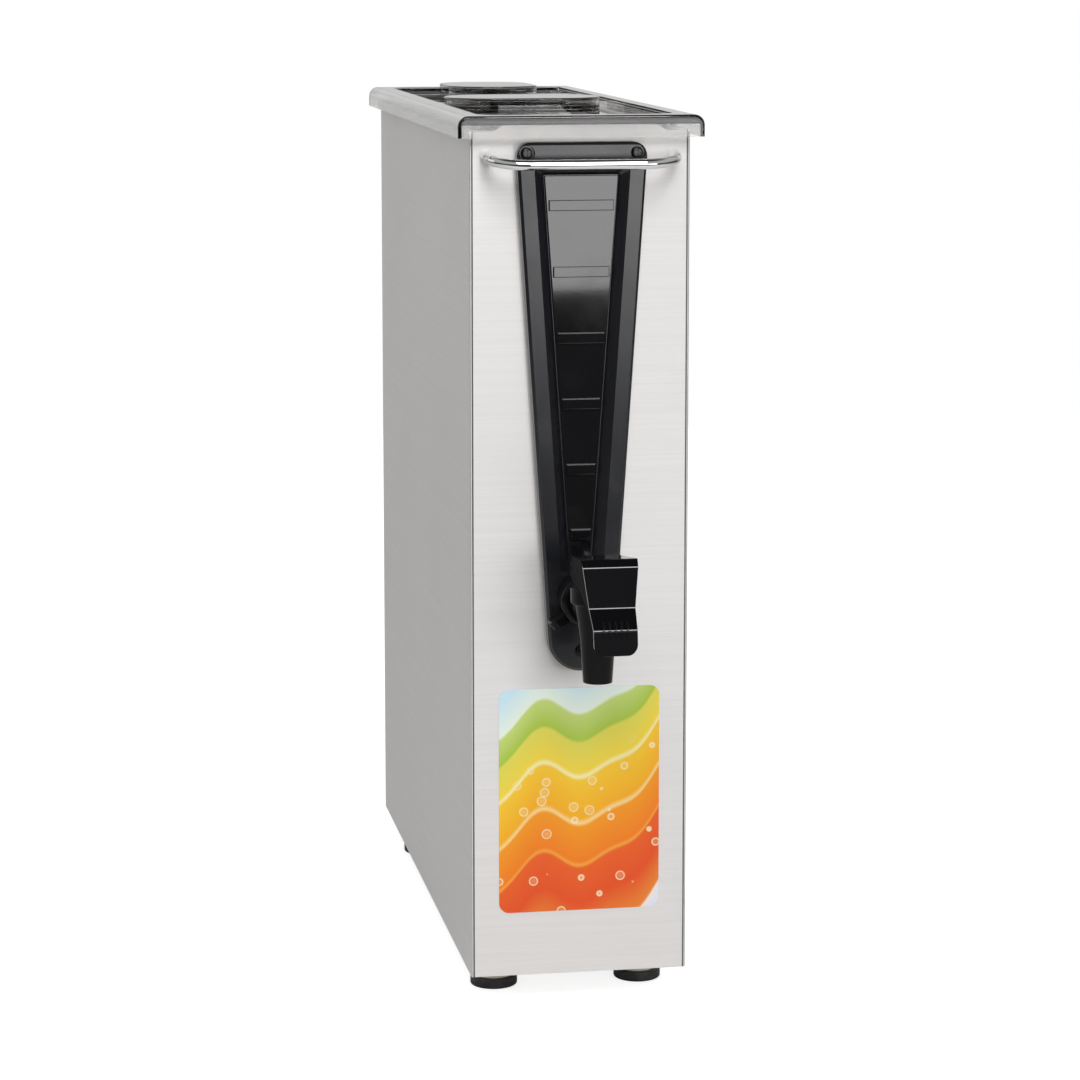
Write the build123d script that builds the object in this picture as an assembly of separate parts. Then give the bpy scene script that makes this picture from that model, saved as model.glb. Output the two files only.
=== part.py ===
from build123d import *
import os

# Narrow countertop iced tea dispenser, in millimetres.
# The pieces are built with the front panel's outer face at Y = 0, the front towards -Y
# and the floor at Z = 0. On export they move along Y, so that the origin lies at the
# middle of the whole dispenser's footprint, on the floor.

# Casing of brushed stainless sheet
casing_width = 127.0
casing_depth = 406.0
casing_height = 490.6
sheet = 1.0
corner_bend = 0.8
flange_margin = 0.5
front_tab_side_inset = 13.5
front_tab_rise = 3.4
front_tab_slope = 6.0
base_flange_height = 15.0

# Clearances
seat_gap = 0.3
seam_gap = 0.35
thread_gap = 0.1
hole_gap = 0.2
running_gap = 0.06
cover_fit_gap = 0.5

# Feet
foot_pad_radius = 14.0
foot_pad_height = 6.0
foot_pad_edge = 1.2
foot_collar_radius = 11.0
foot_collar_height = 12.0
foot_side_inset = 20.0
foot_front_inset = 45.0
foot_rear_inset = 56.0
foot_screw_radius = 3.0
foot_screw_head_radius = 6.0
foot_screw_head_height = 2.5
foot_screw_recess = 1.5
foot_screw_past_nut = 2.0
foot_nut_across_flats = 10.0
foot_nut_height = 5.0

# Reservoir, hung by its flange on the casing's top edges
tank_sheet = 0.8
tank_side_inset = 7.0
tank_front_inset = 14.8
tank_rear_inset = 7.0
tank_corner_radius = 9.0
tank_flange_thickness = 1.0
tank_floor_gap = 2.0
tank_floor_slope_rise = 12.0

# Outlet: a threaded spud through the tank's front wall
outlet_height = 225.5
outlet_bore_radius = 7.0
spud_radius = 12.5
spud_reach = 18.0
spud_flange_width = 3.0
spud_flange_thickness = 2.5
spud_gasket_thickness = 1.5
spud_nut_wall = 3.5
spud_nut_thickness = 6.0
spud_hole_gap = 0.5

# Front trim: a V-shaped frame with a sunken middle
trim_thickness = 8.0
trim_top_drop = 5.1
trim_top_half_width = 37.4
trim_top_radius = 8.0
trim_low_radius = 19.3
trim_low_end_below_outlet = 44.0
trim_bevel = 1.6
trim_arm_width = 9.5
trim_top_bar = 13.6
trim_recess_depth = 6.0
trim_recess_wall_run = 6.0
trim_recess_top_run = 5.0
trim_recess_low_radius = 10.8
trim_recess_end_below_outlet = 17.5
trim_recess_corner = 3.0
trim_floor_corner = 1.0

# Level panel with step bars, inside the trim
level_panel_thickness = 1.6
level_panel_gap = 0.4
level_panel_low_end_above_outlet = 19.0
level_panel_low_radius = 6.0
level_panel_edge = 0.4
step_pitch = 37.8
step_first_top_above_outlet = 38.2
step_height = 6.1
step_proud = 1.3
step_side_margin = 1.1
step_top_margin = 4.0
step_edge = 0.45

# Trim screws and their nuts
trim_screw_radius = 2.0
trim_screw_head_radius = 3.3
trim_screw_head_height = 2.2
trim_screw_head_round = 1.2
trim_screw_bore_radius = 4.4
trim_screw_bore_depth = 2.6
trim_screw_side_inset = 5.7
trim_screw_top_inset = 6.1
trim_low_screw_rise = 11.6
trim_nut_across_flats = 7.0
trim_nut_thickness = 3.0
screw_past_nut = 1.5
cross_slot_length = 4.0
cross_slot_width = 0.9
cross_slot_depth = 1.1

# Label plate
label_width = 94.4
label_height = 132.4
label_thickness = 0.4
label_corner = 6.0
label_below_trim = 11.4

# Chrome handle bar
bar_radius = 3.0
bar_side_inset = 9.5
bar_drop = 12.6
bar_reach = 26.0
bar_bend_radius = 21.0
bar_tilt = 9.0
bar_stud_radius = 2.5
bar_washer_radius = 5.0
bar_washer_thickness = 1.0
bar_nut_across_flats = 8.0
bar_nut_thickness = 4.0

# Rear panel screws
rear_screw_side_inset = 6.5
rear_screw_end_inset = 42.0
rear_screw_radius = 2.0
rear_screw_head_radius = 3.6
rear_screw_head_height = 2.2
rear_screw_head_round = 1.0
rear_screw_past_flange = 3.5

# Faucet body: a tail held by the wing nut, and an upright body that narrows to the spout
spout_reach = 57.0
faucet_gasket_thickness = 1.5
tail_flange_thickness = 3.0
tail_flange_width = 1.8
body_radius = 12.8
body_wall = 3.8
body_collar_width = 2.6
body_collar_height = 6.0
body_collar_round = 1.0
body_above_tail = 1.1
body_neck_round = 2.5
spout_neck_radius = 10.0
spout_neck_drop = 14.5
spout_end_radius = 8.3
spout_end_drop = 39.7
spout_bore_radius = 5.8
seat_drop = 9.5

# Wing nut
wing_nut_wall = 2.3
wing_nut_lip = 3.5
wing_nut_front_round = 3.0
wing_reach = 24.8
wing_thickness = 4.6
wing_length = 13.0
wing_angle = 223.0
wing_corner = 4.0
wing_bend_radius = 40.0
wing_bend_start = 11.0

# Bonnet with two ears for the lever's pin
bonnet_plug_depth = 4.0
bonnet_flange_thickness = 3.0
bonnet_edge_round = 1.0
bonnet_hub_step = 3.2
bonnet_hub_height = 3.5
ear_thickness = 3.1
ear_side_gap = 0.6
ear_radius = 3.4
ear_foot_radius = 2.0
ear_foot_behind_stem = 1.0

# Valve stem, seat cup and spring
stem_radius = 2.5
stem_neck_radius = 2.0
stem_neck_length = 5.5
stem_head_radius = 4.5
stem_head_thickness = 2.0
stem_head_edge = 0.5
cup_side_gap = 1.4
cup_rim_height = 4.0
cup_boss_radius = 5.4
cup_boss_height = 4.0
cup_socket_depth = 5.0
spring_radius = 4.1
spring_wire_radius = 0.45
spring_turns = 3.75
spring_end_gap = 0.15

# Lever with its hood and lifting flap
pivot_behind_stem = 12.0
pivot_rise = 22.5
pin_radius = 1.5
pin_end_inset = 0.4
lever_pad_radius = 4.5
lever_wall = 2.5
lever_rear_half_width = 13.0
lever_front_half_width = 15.9
lever_kink_half_width = 12.9
lever_flap_half_width = 12.2
lever_tip_round = 6.5
lever_edge = 1.0
lever_bend = 1.8
finger_radius = 1.4
finger_neck_gap = 1.0

# Side outline of the lever, as pairs of distance in front of the pivot and rise above it
hood_rear_low = (0.0, -4.4)
hood_side_low = (29.0, -7.0)
flap_inner_top = (51.5, -14.5)
flap_inner_low = (62.0, -24.5)
flap_tip_inner = (64.2, -36.5)
flap_tip_outer = (67.0, -36.5)
flap_outer_low = (65.0, -22.5)
flap_outer_top = (55.0, -12.0)
hood_front_low = (49.7, 9.8)
hood_front_top = (45.0, 13.6)
hood_rear_top = (2.0, 8.2)

# Clear moulded lid
lid_overhang = 7.25
lid_wall = 2.5
lid_skirt_height = 12.5
lid_rim_width = 14.0
lid_side_round = 6.0
lid_end_round = 1.6
lid_pan_drop = 5.0
lid_pan_corner = 12.0
lid_pan_above_flange = 1.4
lid_lip_gap = 0.4
lid_lip_thickness = 2.5
lid_lip_depth = 5.0
pan_recess_width = 4.5
pan_recess_length = 16.0
pan_recess_depth = 1.5
pan_recess_side_inset = 6.25
pan_recess_from_rear = 26.0

# Covers over the two openings of the lid
collar_wall = 2.0
collar_height = 4.0
cover_wall = 2.0
cover_edge = 0.9
cover_spacing = 63.0
front_cover_width = 97.0
front_cover_length = 62.0
front_cover_height = 6.7
front_cover_corner = 29.0
rear_cover_width = 59.0
rear_cover_length = 87.0
rear_cover_end_inset = 22.0
rear_cover_height = 8.9
rear_cover_corner = 26.0

# Heights and depths that follow from the sizes above
casing_half = casing_width / 2
bar_half_span = casing_half - bar_side_inset
return_flange = bar_side_inset + bar_washer_radius + flange_margin
casing_low_z = foot_pad_height + foot_collar_height
casing_top_z = casing_low_z + casing_height
flange_top_z = casing_top_z + tank_flange_thickness
outlet_z = casing_low_z + outlet_height
spud_flange_radius = spud_radius + spud_flange_width
tank_floor_below_outlet = spud_flange_radius + tank_floor_gap
tank_inner_half = casing_half - tank_side_inset
tank_rear_y = casing_depth - tank_rear_inset
trim_top_z = casing_top_z - trim_top_drop
trim_low_end_z = outlet_z - trim_low_end_below_outlet
trim_face_y = -trim_thickness
recess_floor_y = trim_face_y + trim_recess_depth
trim_screw_head_y = trim_face_y + trim_screw_bore_depth
recess_top_z = trim_top_z - trim_top_bar
recess_low_z = outlet_z - trim_recess_end_below_outlet
level_panel_top_z = recess_top_z - trim_recess_top_run - level_panel_gap
level_panel_low_z = outlet_z + level_panel_low_end_above_outlet
first_step_top_z = outlet_z + step_first_top_above_outlet
label_top_z = trim_low_end_z - label_below_trim
stem_y = -spout_reach
pivot_y = stem_y + pivot_behind_stem
pivot_z = outlet_z + pivot_rise
tail_flange_radius = spud_radius - seat_gap
tail_radius = tail_flange_radius - tail_flange_width
body_top_z = outlet_z + tail_radius + body_above_tail
body_collar_radius = body_radius + body_collar_width
body_collar_low_z = body_top_z - body_collar_height
chamber_radius = body_radius - body_wall
cup_radius = chamber_radius - cup_side_gap
bonnet_hub_radius = body_radius - bonnet_hub_step
ear_outer_side = lever_rear_half_width - lever_wall - ear_side_gap
ear_inner_side = ear_outer_side - ear_thickness
seat_z = outlet_z - seat_drop
bonnet_plug_z = body_top_z - bonnet_plug_depth
bonnet_flange_top_z = body_top_z + bonnet_flange_thickness
bonnet_top_z = bonnet_flange_top_z + bonnet_hub_height
head_low_z = pivot_z + finger_radius + seat_gap
cup_low_z = seat_z + seat_gap
cup_top_z = cup_low_z + cup_rim_height + cup_boss_height
lid_pan_low_z = flange_top_z + lid_pan_above_flange
lid_pan_top_z = lid_pan_low_z + lid_wall
lid_top_z = lid_pan_top_z + lid_pan_drop
lid_skirt_low_z = lid_top_z - lid_skirt_height
lid_half_width = casing_half + lid_overhang
lid_front_y = -lid_overhang
lid_rear_y = casing_depth + lid_overhang
lid_pan_half_width = lid_half_width - lid_rim_width
pan_recess_side = lid_pan_half_width - pan_recess_side_inset
rear_cover_start = casing_depth - rear_cover_end_inset - rear_cover_length
front_cover_start = rear_cover_start - cover_spacing - front_cover_length
lever_front_y = pivot_y - flap_tip_outer[0]
shift_y = -(lever_front_y + lid_rear_y) / 2


def block(x_low, x_high, y_low, y_high, z_low, z_high):
    """Box between two corners."""
    centre = Pos((x_low + x_high) / 2, (y_low + y_high) / 2, (z_low + z_high) / 2)
    return centre * Box(x_high - x_low, y_high - y_low, z_high - z_low)


def rod_x(radius, x_low, x_high, y, z):
    """Cylinder along X."""
    return Pos((x_low + x_high) / 2, y, z) * Rot(0, 90, 0) * Cylinder(radius, x_high - x_low)


def rod_y(radius, y_low, y_high, x, z):
    """Cylinder along Y."""
    return Pos(x, (y_low + y_high) / 2, z) * Rot(90, 0, 0) * Cylinder(radius, y_high - y_low)


def rod_z(radius, z_low, z_high, x, y):
    """Cylinder along Z."""
    return Pos(x, y, (z_low + z_high) / 2) * Cylinder(radius, z_high - z_low)


def hex_y(across_flats, y_low, y_high, x, z):
    """Hexagonal prism along Y."""
    face = front_plane(y_high) * Pos(x, z) * RegularPolygon(across_flats / 2, 6, major_radius=False)
    return extrude(face, y_high - y_low)


def front_plane(y):
    """Plane at the given Y that faces the front: its x is X and its y is Z."""
    return Plane(origin=(0, y, 0), x_dir=(1, 0, 0), z_dir=(0, -1, 0))


def side_face(points):
    """Face in the YZ plane from (y, z) points."""
    return make_face(Polyline([(0, y, z) for y, z in points], close=True))


def rounded_block(half_width, y_low, y_high, z_low, z_high, corner):
    """Box about X = 0 with rounded upright edges."""
    outline = RectangleRounded(2 * half_width, y_high - y_low, corner)
    return extrude(Pos(0, (y_low + y_high) / 2, z_low) * outline, z_high - z_low)


def v_outline(top_z, top_half, top_radius, low_z, low_radius):
    """Tapered outline: two small arcs at the top and one arc at the bottom, all tangent."""
    arcs = [Pos(0, low_z + low_radius) * Circle(low_radius)]
    for side in (-1, 1):
        arcs.append(Pos(side * (top_half - top_radius), top_z - top_radius) * Circle(top_radius))
    return make_hull([arc.edge() for arc in arcs])


def side_panel(side):
    """Side sheet with a narrow flange turned in behind the front and rear panels."""
    wall = block(casing_half - sheet, casing_half, 0, casing_depth, casing_low_z, casing_top_z)
    outer_edges = wall.edges().filter_by(Axis.Z).group_by(Axis.X)[-1]
    panel = fillet(outer_edges, corner_bend)
    flange_in = casing_half - return_flange
    for y_low in (sheet, casing_depth - 2 * sheet):
        panel += block(flange_in, casing_half - sheet, y_low, y_low + sheet, casing_low_z, casing_top_z)
    for hole in bar_studs(hole_gap) + rear_screw_shanks(hole_gap):
        panel -= hole
    if side < 0:
        panel = mirror(panel, about=Plane.YZ)
    return panel


def front_panel():
    """Front sheet between the side panels, with a raised tab at its top."""
    half = casing_half - sheet - seam_gap
    tab_half = casing_half - front_tab_side_inset
    tab_top_z = flange_top_z + front_tab_rise
    outline = Polyline(
        [
            (-half, casing_low_z),
            (half, casing_low_z),
            (half, flange_top_z),
            (tab_half, flange_top_z),
            (tab_half - front_tab_slope, tab_top_z),
            (front_tab_slope - tab_half, tab_top_z),
            (-tab_half, flange_top_z),
            (-half, flange_top_z),
        ],
        close=True,
    )
    panel = extrude(front_plane(sheet) * make_face(outline), sheet)
    panel -= rod_y(spud_radius + spud_hole_gap, -sheet, 2 * sheet, 0, outlet_z)
    for hole in bar_studs(hole_gap) + trim_screw_shanks(hole_gap):
        panel -= hole
    return panel


def rear_panel():
    """Rear sheet between the side panels."""
    half = casing_half - sheet - seam_gap
    panel = block(-half, half, casing_depth - sheet, casing_depth, casing_low_z, casing_top_z)
    for hole in rear_screw_shanks(hole_gap):
        panel -= hole
    return panel


def base_pan():
    """Bottom sheet with turned-up edges, between the flanges of the side panels."""
    half = casing_half - sheet
    y_low = 2 * sheet
    y_high = casing_depth - 2 * sheet
    flange_top = casing_low_z + base_flange_height
    pan = block(-half, half, y_low, y_high, casing_low_z, flange_top)
    pan -= block(sheet - half, half - sheet, y_low + sheet, y_high - sheet, casing_low_z + sheet, flange_top)
    for x, y in foot_places():
        pan -= rod_z(foot_screw_radius + hole_gap, casing_low_z, flange_top, x, y)
    return pan


def foot_places():
    """Centres of the four feet."""
    x = casing_half - foot_side_inset
    rows = (foot_front_inset, casing_depth - foot_rear_inset)
    return [(side * x, y) for side in (-1, 1) for y in rows]


def foot_pads():
    """Black rubber pads with a sunk hole for the screw's head."""
    pads = []
    for x, y in foot_places():
        pad = rod_z(foot_pad_radius, 0, foot_pad_height, x, y)
        pad = fillet(pad.edges().filter_by(GeomType.CIRCLE), foot_pad_edge)
        head_top = foot_screw_recess + foot_screw_head_height
        pad -= rod_z(foot_screw_head_radius + hole_gap, 0, head_top, x, y)
        pad -= rod_z(foot_screw_radius + hole_gap, 0, foot_pad_height, x, y)
        pads.append(pad)
    return Compound(pads)


def foot_collars():
    """Pale spacers between the pads and the base pan."""
    collars = []
    for x, y in foot_places():
        collar = rod_z(foot_collar_radius, foot_pad_height, casing_low_z, x, y)
        collar -= rod_z(foot_screw_radius + hole_gap, foot_pad_height, casing_low_z, x, y)
        collars.append(collar)
    return Compound(collars)


def foot_screws():
    """Screws from inside each pad up through the base pan."""
    screws = []
    top_z = casing_low_z + sheet + foot_nut_height + foot_screw_past_nut
    head_top = foot_screw_recess + foot_screw_head_height
    for x, y in foot_places():
        screw = rod_z(foot_screw_head_radius, foot_screw_recess, head_top, x, y)
        screw += rod_z(foot_screw_radius, foot_screw_recess, top_z, x, y)
        screws.append(screw)
    return Compound(screws)


def foot_nuts():
    """Hexagonal nuts on the base pan."""
    nuts = []
    for x, y in foot_places():
        outline = RegularPolygon(foot_nut_across_flats / 2, 6, major_radius=False)
        nut = extrude(Pos(x, y, casing_low_z + sheet) * outline, foot_nut_height)
        nut -= rod_z(foot_screw_radius + thread_gap, casing_low_z, casing_top_z, x, y)
        nuts.append(nut)
    return Compound(nuts)


def tank_solid(grow, top_z):
    """Upright block of the tank's inside, grown by one wall, with its floor sloping to the front."""
    floor_z = outlet_z - tank_floor_below_outlet - grow
    y_low = tank_front_inset - grow
    y_high = tank_rear_y + grow
    half = tank_inner_half + grow
    solid = rounded_block(half, y_low, y_high, floor_z, top_z, tank_corner_radius + grow)
    wedge = side_face([(y_low, floor_z), (y_high, floor_z), (y_high, floor_z + tank_floor_slope_rise)])
    return solid - extrude(wedge, half, both=True)


def reservoir():
    """Open stainless tank whose flange lies on the top edges of the casing."""
    flange = block(-casing_half, casing_half, sheet, casing_depth, casing_top_z, flange_top_z)
    tank = tank_solid(tank_sheet, flange_top_z) + flange
    tank -= tank_solid(0, flange_top_z)
    return tank - rod_y(spud_radius + hole_gap, 0, tank_front_inset + tank_sheet, 0, outlet_z)


def outlet_spud():
    """Threaded tube through the tank's front wall, with its flange inside the tank."""
    flange_y = tank_front_inset + spud_gasket_thickness
    spud = rod_y(spud_radius, -spud_reach, flange_y, 0, outlet_z)
    spud += rod_y(spud_flange_radius, flange_y, flange_y + spud_flange_thickness, 0, outlet_z)
    return spud - rod_y(outlet_bore_radius, -spud_reach, flange_y + spud_flange_thickness, 0, outlet_z)


def spud_gasket():
    """Ring between the spud's flange and the tank's front wall."""
    y_high = tank_front_inset + spud_gasket_thickness
    ring = rod_y(spud_flange_radius, tank_front_inset, y_high, 0, outlet_z)
    return ring - rod_y(spud_radius, tank_front_inset, y_high, 0, outlet_z)


def spud_nut():
    """Hexagonal nut that draws the spud against the tank from outside."""
    y_high = tank_front_inset - tank_sheet
    across_flats = 2 * (spud_radius + spud_nut_wall)
    nut = hex_y(across_flats, y_high - spud_nut_thickness, y_high, 0, outlet_z)
    return nut - rod_y(spud_radius + thread_gap, 0, y_high, 0, outlet_z)


def trim_screw_places():
    """Centres of the trim's screws as (x, z)."""
    side = trim_top_half_width - trim_screw_side_inset
    top_z = trim_top_z - trim_screw_top_inset
    return [(-side, top_z), (side, top_z), (0, trim_low_end_z + trim_low_screw_rise)]


def trim_screw_shanks(gap):
    """Shanks of the trim's screws, grown by a gap for their holes."""
    y_high = sheet + trim_nut_thickness + screw_past_nut
    return [rod_y(trim_screw_radius + gap, trim_screw_head_y, y_high, x, z) for x, z in trim_screw_places()]


def recess_half_width():
    """Half width of the recess at its top, one arm in from the trim's slanting side."""
    low_z = trim_low_end_z + trim_low_radius
    high_z = trim_top_z - trim_top_radius
    share = (recess_top_z - low_z) / (high_z - low_z)
    return trim_low_radius + share * (trim_top_half_width - trim_low_radius) - trim_arm_width


def front_trim():
    """V-shaped frame with a bevelled outer edge and a sunken, sloping-walled middle."""
    outline = v_outline(trim_top_z, trim_top_half_width, trim_top_radius, trim_low_end_z, trim_low_radius)
    trim = extrude(front_plane(0) * outline, trim_thickness)
    trim = chamfer(trim.faces().sort_by(Axis.Y)[0].edges(), trim_bevel)
    mouth = v_outline(recess_top_z, recess_half_width(), trim_recess_corner, recess_low_z, trim_recess_low_radius)
    trim -= loft([front_plane(trim_face_y) * mouth, front_plane(recess_floor_y) * recess_floor()], ruled=True)
    trim -= rod_y(spud_radius + spud_hole_gap, trim_face_y, 0, 0, outlet_z)
    for x, z in trim_screw_places():
        trim -= rod_y(trim_screw_bore_radius, trim_face_y, trim_screw_head_y, x, z)
    for hole in trim_screw_shanks(hole_gap):
        trim -= hole
    return trim


def recess_floor():
    """Outline of the flat floor of the trim's sunken middle."""
    low_radius = trim_recess_low_radius - trim_recess_wall_run
    low_z = recess_low_z + trim_recess_wall_run
    half = recess_half_width() - trim_recess_wall_run
    return v_outline(recess_top_z - trim_recess_top_run, half, trim_floor_corner, low_z, low_radius)


def level_panel_half_width(z):
    """Half width of the level panel at a height, from the slope of its straight sides."""
    top_half = recess_half_width() - trim_recess_wall_run - level_panel_gap
    share = (z - level_panel_low_z) / (level_panel_top_z - level_panel_low_z)
    return level_panel_low_radius + share * (top_half - level_panel_low_radius)


def level_panel():
    """Glossy tapered plate on the trim's sunken floor, with as many step bars as have room."""
    top_half = level_panel_half_width(level_panel_top_z)
    outline = v_outline(
        level_panel_top_z, top_half, trim_floor_corner, level_panel_low_z, level_panel_low_radius
    )
    panel = extrude(front_plane(recess_floor_y) * outline, level_panel_thickness)
    panel = fillet(panel.faces().sort_by(Axis.Y)[0].edges(), level_panel_edge)
    face_y = recess_floor_y - level_panel_thickness
    room = level_panel_top_z - step_top_margin - first_step_top_z
    for step in range(1 + int(room / step_pitch)):
        bar_top = first_step_top_z + step * step_pitch
        half = level_panel_half_width(bar_top - step_height) - step_side_margin
        bar = block(-half, half, face_y - step_proud, face_y, bar_top - step_height, bar_top)
        panel += fillet(bar.faces().sort_by(Axis.Y)[0].edges(), step_edge)
    return panel


def cross_slots(x, z, y_face):
    """Two crossed slots in a screw head whose face lies at the given Y, towards the front."""
    long_half = cross_slot_length / 2
    thin_half = cross_slot_width / 2
    y_high = y_face + cross_slot_depth
    slots = block(x - long_half, x + long_half, y_face, y_high, z - thin_half, z + thin_half)
    return slots + block(x - thin_half, x + thin_half, y_face, y_high, z - long_half, z + long_half)


def trim_screws():
    """Pan-head screws that hold the trim to the front panel."""
    face_y = trim_screw_head_y - trim_screw_head_height
    screws = []
    for (x, z), shank in zip(trim_screw_places(), trim_screw_shanks(0)):
        head = rod_y(trim_screw_head_radius, face_y, trim_screw_head_y, x, z)
        head = fillet(head.edges().sort_by(Axis.Y)[0], trim_screw_head_round)
        screws.append(head + shank - cross_slots(x, z, face_y))
    return Compound(screws)


def trim_nuts():
    """Nuts of the trim's screws, behind the front panel."""
    nuts = []
    for (x, z), hole in zip(trim_screw_places(), trim_screw_shanks(thread_gap)):
        nuts.append(hex_y(trim_nut_across_flats, sheet, sheet + trim_nut_thickness, x, z) - hole)
    return Compound(nuts)


def label_plate():
    """Thin printed plate on the front panel."""
    centre_z = label_top_z - label_height / 2
    outline = front_plane(0) * Pos(0, centre_z) * RectangleRounded(label_width, label_height, label_corner)
    return extrude(outline, label_thickness)


def bar_studs(gap):
    """Threaded ends of the handle bar behind the front face, grown by a gap for their holes."""
    y_high = 2 * sheet + bar_washer_thickness + bar_nut_thickness + screw_past_nut
    z = casing_top_z - bar_drop
    return [rod_y(bar_stud_radius + gap, 0, y_high, side * bar_half_span, z) for side in (-1, 1)]


def handle_bar():
    """Chrome rod with two wide bends, sloping down a little to the front."""
    start = sheet
    corners = [
        (-bar_half_span, start),
        (-bar_half_span, -bar_reach),
        (bar_half_span, -bar_reach),
        (bar_half_span, start),
    ]
    path = FilletPolyline(corners, radius=bar_bend_radius)
    section = Plane(origin=path @ 0, z_dir=path % 0) * Circle(bar_radius)
    tilt = Pos(0, 0, casing_top_z - bar_drop) * Rot(bar_tilt, 0, 0)
    rod = tilt * sweep(section, path=path)
    keep = block(-casing_half, casing_half, -2 * bar_reach, 0, casing_low_z, casing_top_z)
    bar = rod & keep
    for stud in bar_studs(0):
        bar += stud
    return bar


def bar_washers():
    """Washers behind the flanges of the side panels."""
    y_high = 2 * sheet + bar_washer_thickness
    z = casing_top_z - bar_drop
    washers = []
    for side, hole in zip((-1, 1), bar_studs(hole_gap)):
        washers.append(rod_y(bar_washer_radius, 2 * sheet, y_high, side * bar_half_span, z) - hole)
    return Compound(washers)


def bar_nuts():
    """Nuts on the handle bar's threaded ends."""
    y_low = 2 * sheet + bar_washer_thickness
    z = casing_top_z - bar_drop
    nuts = []
    for side, hole in zip((-1, 1), bar_studs(thread_gap)):
        nuts.append(hex_y(bar_nut_across_flats, y_low, y_low + bar_nut_thickness, side * bar_half_span, z) - hole)
    return Compound(nuts)


def rear_screw_places():
    """Centres of the rear panel's screws as (x, z)."""
    x = casing_half - rear_screw_side_inset
    low_z = casing_low_z + rear_screw_end_inset
    high_z = casing_top_z - rear_screw_end_inset
    return [(side * x, z) for side in (-1, 1) for z in (low_z, (low_z + high_z) / 2, high_z)]


def rear_screw_shanks(gap):
    """Shanks of the rear panel's screws, grown by a gap for their holes."""
    y_low = casing_depth - 2 * sheet - rear_screw_past_flange
    return [rod_y(rear_screw_radius + gap, y_low, casing_depth, x, z) for x, z in rear_screw_places()]


def rear_panel_screws():
    """Pan-head screws through the rear panel into the side panels' flanges."""
    face_y = casing_depth + rear_screw_head_height
    screws = []
    for (x, z), shank in zip(rear_screw_places(), rear_screw_shanks(0)):
        head = rod_y(rear_screw_head_radius, casing_depth, face_y, x, z)
        head = fillet(head.edges().sort_by(Axis.Y)[-1], rear_screw_head_round)
        screws.append(head + shank - cross_slots(x, z, face_y - cross_slot_depth))
    return Compound(screws)


def faucet_gasket():
    """Ring between the spud's end and the faucet's tail."""
    y_low = -spud_reach - faucet_gasket_thickness
    ring = rod_y(tail_flange_radius, y_low, -spud_reach, 0, outlet_z)
    return ring - rod_y(outlet_bore_radius, y_low, -spud_reach, 0, outlet_z)


def tail_end_y():
    """Rear end of the faucet's tail, on the gasket."""
    return -spud_reach - faucet_gasket_thickness


def faucet_body():
    """Tail, upright body with a wide collar on top, and tapered spout, bored through."""
    profile = [
        (0, outlet_z - spout_end_drop),
        (spout_end_radius, outlet_z - spout_end_drop),
        (spout_neck_radius, outlet_z - spout_neck_drop),
        (body_radius, body_collar_low_z),
        (body_collar_radius, body_collar_low_z),
        (body_collar_radius, body_top_z),
        (0, body_top_z),
    ]
    section = make_face(Polyline([(r, 0, z) for r, z in profile], close=True))
    section = fillet(section.vertices().group_by(Axis.Z)[1], body_neck_round)
    low_rim = section.vertices().group_by(Axis.X)[-1].sort_by(Axis.Z)[0]
    section = fillet(low_rim, body_collar_round)
    body = Pos(0, stem_y, 0) * revolve(section, Axis.Z)
    body += rod_y(tail_radius, stem_y, tail_end_y(), 0, outlet_z)
    body += rod_y(tail_flange_radius, tail_end_y() - tail_flange_thickness, tail_end_y(), 0, outlet_z)
    body -= rod_z(chamber_radius, seat_z, body_top_z, 0, stem_y)
    body -= rod_z(spout_bore_radius, outlet_z - spout_end_drop, seat_z, 0, stem_y)
    return body - rod_y(outlet_bore_radius, stem_y, tail_end_y(), 0, outlet_z)


def wing_nut():
    """Threaded hub with two curved wings, holding the faucet's tail to the spud."""
    y_high = trim_face_y - seat_gap
    flange_y = tail_end_y() - tail_flange_thickness
    y_low = flange_y - wing_nut_lip
    nut = rod_y(spud_radius + wing_nut_wall, y_low, y_high, 0, outlet_z)
    nut = fillet(nut.faces().sort_by(Axis.Y)[0].edges(), wing_nut_front_round)
    bend_centre = Pos(wing_bend_start, -wing_bend_radius - wing_thickness / 2)
    ring = Circle(wing_bend_radius + wing_thickness) - Circle(wing_bend_radius)
    reach = block(0, wing_reach, y_high - wing_length, y_high, -wing_bend_radius, wing_thickness)
    reach = fillet(reach.edges().filter_by(Axis.Z).group_by(Axis.X)[-1], wing_corner)
    wing = extrude(front_plane(y_high) * bend_centre * ring, wing_length) & reach
    for angle in (wing_angle, wing_angle + 180):
        nut += Pos(0, 0, outlet_z) * Rot(0, -angle, 0) * wing
    nut -= rod_y(spud_radius + thread_gap, flange_y, y_high, 0, outlet_z)
    return nut - rod_y(tail_radius + hole_gap, y_low, flange_y, 0, outlet_z)


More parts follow.
